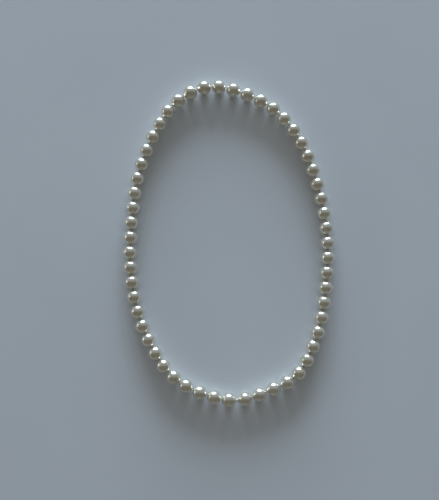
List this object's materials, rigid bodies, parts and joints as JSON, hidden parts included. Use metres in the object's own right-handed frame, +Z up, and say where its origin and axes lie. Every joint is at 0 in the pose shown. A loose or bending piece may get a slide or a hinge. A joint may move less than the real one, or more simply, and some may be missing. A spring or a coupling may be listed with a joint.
{
  "type": "pearl necklace",
  "caption": "Single strand of round imitation pearls on an endless elastic cord, lying in a loose egg-shaped loop; the strand bends sideways and upwards between the pearls.",
  "frame": {"origin": "on the surface that the strand lies on, under the middle of the loop's outline", "axes": "+Z up from that surface; +Y along the loop's long way, towards the end opposite the knot; +X across the loop"},
  "size_m": [0.119, 0.1841, 0.008],
  "materials": {
    "pearl": "pearlescent lacquer over a moulded core",
    "cord": "clear elastic"
  },
  "bodies": {
    "pearl_28": {"pearl_28": "pearl", "elastic_cord": "cord"},
    "pearl_27": {"pearl_27": "pearl"},
    "pearl_29": {"pearl_29": "pearl"},
    "pearl_26": {"pearl_26": "pearl"},
    "pearl_30": {"pearl_30": "pearl"},
    "pearl_25": {"pearl_25": "pearl"},
    "pearl_31": {"pearl_31": "pearl"},
    "pearl_24": {"pearl_24": "pearl"},
    "pearl_32": {"pearl_32": "pearl"},
    "pearl_23": {"pearl_23": "pearl"},
    "pearl_33": {"pearl_33": "pearl"},
    "pearl_22": {"pearl_22": "pearl"},
    "pearl_34": {"pearl_34": "pearl"},
    "pearl_21": {"pearl_21": "pearl"},
    "pearl_35": {"pearl_35": "pearl"},
    "pearl_20": {"pearl_20": "pearl"},
    "pearl_36": {"pearl_36": "pearl"},
    "pearl_19": {"pearl_19": "pearl"},
    "pearl_37": {"pearl_37": "pearl"},
    "pearl_18": {"pearl_18": "pearl"},
    "pearl_38": {"pearl_38": "pearl"},
    "pearl_17": {"pearl_17": "pearl"},
    "pearl_39": {"pearl_39": "pearl"},
    "pearl_16": {"pearl_16": "pearl"},
    "pearl_40": {"pearl_40": "pearl"},
    "pearl_15": {"pearl_15": "pearl"},
    "pearl_41": {"pearl_41": "pearl"},
    "pearl_14": {"pearl_14": "pearl"},
    "pearl_42": {"pearl_42": "pearl"},
    "pearl_13": {"pearl_13": "pearl"},
    "pearl_43": {"pearl_43": "pearl"},
    "pearl_12": {"pearl_12": "pearl"},
    "pearl_44": {"pearl_44": "pearl"},
    "pearl_11": {"pearl_11": "pearl"},
    "pearl_45": {"pearl_45": "pearl"},
    "pearl_10": {"pearl_10": "pearl"},
    "pearl_46": {"pearl_46": "pearl"},
    "pearl_09": {"pearl_09": "pearl"},
    "pearl_47": {"pearl_47": "pearl"},
    "pearl_08": {"pearl_08": "pearl"},
    "pearl_48": {"pearl_48": "pearl"},
    "pearl_07": {"pearl_07": "pearl"},
    "pearl_49": {"pearl_49": "pearl"},
    "pearl_06": {"pearl_06": "pearl"},
    "pearl_50": {"pearl_50": "pearl"},
    "pearl_05": {"pearl_05": "pearl"},
    "pearl_51": {"pearl_51": "pearl"},
    "pearl_04": {"pearl_04": "pearl"},
    "pearl_52": {"pearl_52": "pearl"},
    "pearl_03": {"pearl_03": "pearl"},
    "pearl_53": {"pearl_53": "pearl"},
    "pearl_02": {"pearl_02": "pearl"},
    "pearl_54": {"pearl_54": "pearl"},
    "pearl_01": {"pearl_01": "pearl"},
    "pearl_55": {"pearl_55": "pearl", "knot": "cord"}
  },
  "joints": [
    {"name": "left_01_opens", "type": "hinge", "parent": "pearl_28", "child": "pearl_27", "pos_m": [-0.00979, 0.0884, 0.004], "axis": [0, 0, -1], "range_deg": [0, 25], "deforming": ["elastic_cord"]},
    {"name": "right_01_opens", "type": "hinge", "parent": "pearl_28", "child": "pearl_29", "pos_m": [-0.00139, 0.08752, 0.004], "axis": [0, 0, 1], "range_deg": [0, 25], "deforming": ["elastic_cord"]},
    {"name": "left_02_lifts", "type": "hinge", "parent": "pearl_27", "child": "pearl_26", "pos_m": [-0.01809, 0.08683, 0.004], "axis": [-0.3394, 0.9406, 0], "range_deg": [0, 25], "deforming": ["elastic_cord"]},
    {"name": "right_02_lifts", "type": "hinge", "parent": "pearl_29", "child": "pearl_30", "pos_m": [0.00673, 0.08526, 0.004], "axis": [-0.3171, -0.9484, 0], "range_deg": [0, 25], "deforming": ["elastic_cord"]},
    {"name": "left_03_opens", "type": "hinge", "parent": "pearl_26", "child": "pearl_25", "pos_m": [-0.02561, 0.08293, 0.004], "axis": [0, 0, 1], "range_deg": [-25, 0], "deforming": ["elastic_cord"]},
    {"name": "right_03_opens", "type": "hinge", "parent": "pearl_30", "child": "pearl_31", "pos_m": [0.01454, 0.08211, 0.004], "axis": [0, 0, -1], "range_deg": [-25, 0], "deforming": ["elastic_cord"]},
    {"name": "left_04_lifts", "type": "hinge", "parent": "pearl_25", "child": "pearl_24", "pos_m": [-0.03194, 0.07735, 0.004], "axis": [0.7407, -0.6718, 0], "range_deg": [-25, 0], "deforming": ["elastic_cord"]},
    {"name": "right_04_lifts", "type": "hinge", "parent": "pearl_31", "child": "pearl_32", "pos_m": [0.0219, 0.07802, 0.004], "axis": [0.5472, 0.837, 0], "range_deg": [-25, 0], "deforming": ["elastic_cord"]},
    {"name": "left_05_opens", "type": "hinge", "parent": "pearl_24", "child": "pearl_23", "pos_m": [-0.03692, 0.07056, 0.004], "axis": [0, 0, -1], "range_deg": [0, 25], "deforming": ["elastic_cord"]},
    {"name": "right_05_opens", "type": "hinge", "parent": "pearl_32", "child": "pearl_33", "pos_m": [0.02855, 0.07286, 0.004], "axis": [0, 0, 1], "range_deg": [0, 25], "deforming": ["elastic_cord"]},
    {"name": "left_06_lifts", "type": "hinge", "parent": "pearl_23", "child": "pearl_22", "pos_m": [-0.04109, 0.06324, 0.004], "axis": [-0.8818, 0.4715, 0], "range_deg": [0, 25], "deforming": ["elastic_cord"]},
    {"name": "right_06_lifts", "type": "hinge", "parent": "pearl_33", "child": "pearl_34", "pos_m": [0.03425, 0.06667, 0.004], "axis": [-0.7814, -0.6241, 0], "range_deg": [0, 25], "deforming": ["elastic_cord"]},
    {"name": "left_07_opens", "type": "hinge", "parent": "pearl_22", "child": "pearl_21", "pos_m": [-0.04479, 0.0557, 0.004], "axis": [0, 0, 1], "range_deg": [-25, 0], "deforming": ["elastic_cord"]},
    {"name": "right_07_opens", "type": "hinge", "parent": "pearl_34", "child": "pearl_35", "pos_m": [0.03908, 0.05977, 0.004], "axis": [0, 0, -1], "range_deg": [-25, 0], "deforming": ["elastic_cord"]},
    {"name": "left_08_lifts", "type": "hinge", "parent": "pearl_21", "child": "pearl_20", "pos_m": [-0.04794, 0.0479, 0.004], "axis": [0.9402, -0.3406, 0], "range_deg": [-25, 0], "deforming": ["elastic_cord"]},
    {"name": "right_08_lifts", "type": "hinge", "parent": "pearl_35", "child": "pearl_36", "pos_m": [0.04304, 0.05236, 0.004], "axis": [0.9065, 0.4221, 0], "range_deg": [-25, 0], "deforming": ["elastic_cord"]},
    {"name": "left_09_opens", "type": "hinge", "parent": "pearl_20", "child": "pearl_19", "pos_m": [-0.05054, 0.03991, 0.004], "axis": [0, 0, -1], "range_deg": [0, 25], "deforming": ["elastic_cord"]},
    {"name": "right_09_opens", "type": "hinge", "parent": "pearl_36", "child": "pearl_37", "pos_m": [0.0462, 0.04457, 0.004], "axis": [0, 0, 1], "range_deg": [0, 25], "deforming": ["elastic_cord"]},
    {"name": "left_10_lifts", "type": "hinge", "parent": "pearl_19", "child": "pearl_18", "pos_m": [-0.05246, 0.03173, 0.004], "axis": [-0.9836, 0.1806, 0], "range_deg": [0, 25], "deforming": ["elastic_cord"]},
    {"name": "right_10_lifts", "type": "hinge", "parent": "pearl_37", "child": "pearl_38", "pos_m": [0.04882, 0.03658, 0.004], "axis": [-0.9568, -0.2908, 0], "range_deg": [0, 25], "deforming": ["elastic_cord"]},
    {"name": "left_11_opens", "type": "hinge", "parent": "pearl_18", "child": "pearl_17", "pos_m": [-0.05359, 0.0234, 0.004], "axis": [0, 0, 1], "range_deg": [-25, 0], "deforming": ["elastic_cord"]},
    {"name": "right_11_opens", "type": "hinge", "parent": "pearl_38", "child": "pearl_39", "pos_m": [0.05109, 0.02849, 0.004], "axis": [0, 0, -1], "range_deg": [-25, 0], "deforming": ["elastic_cord"]},
    {"name": "left_12_lifts", "type": "hinge", "parent": "pearl_17", "child": "pearl_16", "pos_m": [-0.05435, 0.01503, 0.004], "axis": [0.9963, -0.0865, 0], "range_deg": [-25, 0], "deforming": ["elastic_cord"]},
    {"name": "right_12_lifts", "type": "hinge", "parent": "pearl_39", "child": "pearl_40", "pos_m": [0.05298, 0.0203, 0.004], "axis": [0.9805, 0.1963, 0], "range_deg": [-25, 0], "deforming": ["elastic_cord"]},
    {"name": "left_13_opens", "type": "hinge", "parent": "pearl_16", "child": "pearl_15", "pos_m": [-0.05502, 0.00666, 0.004], "axis": [0, 0, -1], "range_deg": [0, 25], "deforming": ["elastic_cord"]},
    {"name": "right_13_opens", "type": "hinge", "parent": "pearl_40", "child": "pearl_41", "pos_m": [0.0544, 0.01202, 0.004], "axis": [0, 0, 1], "range_deg": [0, 25], "deforming": ["elastic_cord"]},
    {"name": "left_14_lifts", "type": "hinge", "parent": "pearl_15", "child": "pearl_14", "pos_m": [-0.05546, -0.00173, 0.004], "axis": [-0.9997, 0.0242, 0], "range_deg": [0, 25], "deforming": ["elastic_cord"]},
    {"name": "right_14_lifts", "type": "hinge", "parent": "pearl_41", "child": "pearl_42", "pos_m": [0.05529, 0.00366, 0.004], "axis": [-0.9975, -0.0712, 0], "range_deg": [0, 25], "deforming": ["elastic_cord"]},
    {"name": "left_15_opens", "type": "hinge", "parent": "pearl_14", "child": "pearl_13", "pos_m": [-0.0554, -0.01013, 0.004], "axis": [0, 0, 1], "range_deg": [-25, 0], "deforming": ["elastic_cord"]},
    {"name": "right_15_opens", "type": "hinge", "parent": "pearl_42", "child": "pearl_43", "pos_m": [0.05558, -0.00474, 0.004], "axis": [0, 0, -1], "range_deg": [-25, 0], "deforming": ["elastic_cord"]},
    {"name": "left_16_lifts", "type": "hinge", "parent": "pearl_13", "child": "pearl_12", "pos_m": [-0.05484, -0.01852, 0.004], "axis": [0.9956, 0.0936, 0], "range_deg": [-25, 0], "deforming": ["elastic_cord"]},
    {"name": "right_16_lifts", "type": "hinge", "parent": "pearl_43", "child": "pearl_44", "pos_m": [0.0553, -0.01314, 0.004], "axis": [0.9983, -0.0578, 0], "range_deg": [-25, 0], "deforming": ["elastic_cord"]},
    {"name": "left_17_opens", "type": "hinge", "parent": "pearl_12", "child": "pearl_11", "pos_m": [-0.0538, -0.02686, 0.004], "axis": [0, 0, -1], "range_deg": [0, 25], "deforming": ["elastic_cord"]},
    {"name": "right_17_opens", "type": "hinge", "parent": "pearl_44", "child": "pearl_45", "pos_m": [0.05461, -0.02151, 0.004], "axis": [0, 0, 1], "range_deg": [0, 25], "deforming": ["elastic_cord"]},
    {"name": "left_18_lifts", "type": "hinge", "parent": "pearl_11", "child": "pearl_10", "pos_m": [-0.0521, -0.03509, 0.004], "axis": [-0.9694, -0.2453, 0], "range_deg": [0, 25], "deforming": ["elastic_cord"]},
    {"name": "right_18_lifts", "type": "hinge", "parent": "pearl_45", "child": "pearl_46", "pos_m": [0.05369, -0.02986, 0.004], "axis": [-0.9925, 0.1221, 0], "range_deg": [0, 25], "deforming": ["elastic_cord"]},
    {"name": "left_19_opens", "type": "hinge", "parent": "pearl_10", "child": "pearl_09", "pos_m": [-0.04972, -0.04315, 0.004], "axis": [0, 0, 1], "range_deg": [-25, 0], "deforming": ["elastic_cord"]},
    {"name": "right_19_opens", "type": "hinge", "parent": "pearl_46", "child": "pearl_47", "pos_m": [0.05254, -0.03818, 0.004], "axis": [0, 0, -1], "range_deg": [-25, 0], "deforming": ["elastic_cord"]},
    {"name": "left_20_lifts", "type": "hinge", "parent": "pearl_09", "child": "pearl_08", "pos_m": [-0.04668, -0.05099, 0.004], "axis": [0.9172, 0.3984, 0], "range_deg": [-25, 0], "deforming": ["elastic_cord"]},
    {"name": "right_20_lifts", "type": "hinge", "parent": "pearl_47", "child": "pearl_48", "pos_m": [0.05086, -0.04642, 0.004], "axis": [0.97, -0.2433, 0], "range_deg": [-25, 0], "deforming": ["elastic_cord"]},
    {"name": "left_21_opens", "type": "hinge", "parent": "pearl_08", "child": "pearl_07", "pos_m": [-0.04305, -0.05857, 0.004], "axis": [0, 0, -1], "range_deg": [0, 25], "deforming": ["elastic_cord"]},
    {"name": "right_21_opens", "type": "hinge", "parent": "pearl_48", "child": "pearl_49", "pos_m": [0.04845, -0.05447, 0.004], "axis": [0, 0, 1], "range_deg": [0, 25], "deforming": ["elastic_cord"]},
    {"name": "left_22_lifts", "type": "hinge", "parent": "pearl_07", "child": "pearl_06", "pos_m": [-0.03886, -0.06587, 0.004], "axis": [-0.8392, -0.5438, 0], "range_deg": [0, 25], "deforming": ["elastic_cord"]},
    {"name": "right_22_lifts", "type": "hinge", "parent": "pearl_49", "child": "pearl_50", "pos_m": [0.04542, -0.06232, 0.004], "axis": [-0.9153, 0.4027, 0], "range_deg": [0, 25], "deforming": ["elastic_cord"]},
    {"name": "left_23_opens", "type": "hinge", "parent": "pearl_06", "child": "pearl_05", "pos_m": [-0.0338, -0.0726, 0.004], "axis": [0, 0, 1], "range_deg": [-25, 0], "deforming": ["elastic_cord"]},
    {"name": "right_23_opens", "type": "hinge", "parent": "pearl_50", "child": "pearl_51", "pos_m": [0.04163, -0.06987, 0.004], "axis": [0, 0, -1], "range_deg": [-25, 0], "deforming": ["elastic_cord"]},
    {"name": "left_24_lifts", "type": "hinge", "parent": "pearl_05", "child": "pearl_04", "pos_m": [-0.02749, -0.07819, 0.004], "axis": [0.5828, 0.8126, 0], "range_deg": [-25, 0], "deforming": ["elastic_cord"]},
    {"name": "right_24_lifts", "type": "hinge", "parent": "pearl_51", "child": "pearl_52", "pos_m": [0.03603, -0.07617, 0.004], "axis": [0.6245, -0.781, 0], "range_deg": [-25, 0], "deforming": ["elastic_cord"]},
    {"name": "left_25_opens", "type": "hinge", "parent": "pearl_04", "child": "pearl_03", "pos_m": [-0.02022, -0.08244, 0.004], "axis": [0, 0, -1], "range_deg": [0, 25], "deforming": ["elastic_cord"]},
    {"name": "right_25_opens", "type": "hinge", "parent": "pearl_52", "child": "pearl_53", "pos_m": [0.0287, -0.08036, 0.004], "axis": [0, 0, 1], "range_deg": [0, 25], "deforming": ["elastic_cord"]},
    {"name": "left_26_lifts", "type": "hinge", "parent": "pearl_03", "child": "pearl_02", "pos_m": [-0.01239, -0.08556, 0.004], "axis": [-0.3076, -0.9515, 0], "range_deg": [0, 25], "deforming": ["elastic_cord"]},
    {"name": "right_26_lifts", "type": "hinge", "parent": "pearl_53", "child": "pearl_54", "pos_m": [0.02092, -0.08358, 0.004], "axis": [-0.3816, 0.9243, 0], "range_deg": [0, 25], "deforming": ["elastic_cord"]},
    {"name": "left_27_opens", "type": "hinge", "parent": "pearl_02", "child": "pearl_01", "pos_m": [-0.00423, -0.08766, 0.004], "axis": [0, 0, 1], "range_deg": [-25, 0], "deforming": ["elastic_cord"]},
    {"name": "right_27_opens", "type": "hinge", "parent": "pearl_54", "child": "pearl_55", "pos_m": [0.01306, -0.08661, 0.004], "axis": [0, 0, -1], "range_deg": [-25, 0], "deforming": ["elastic_cord"]}
  ]
}
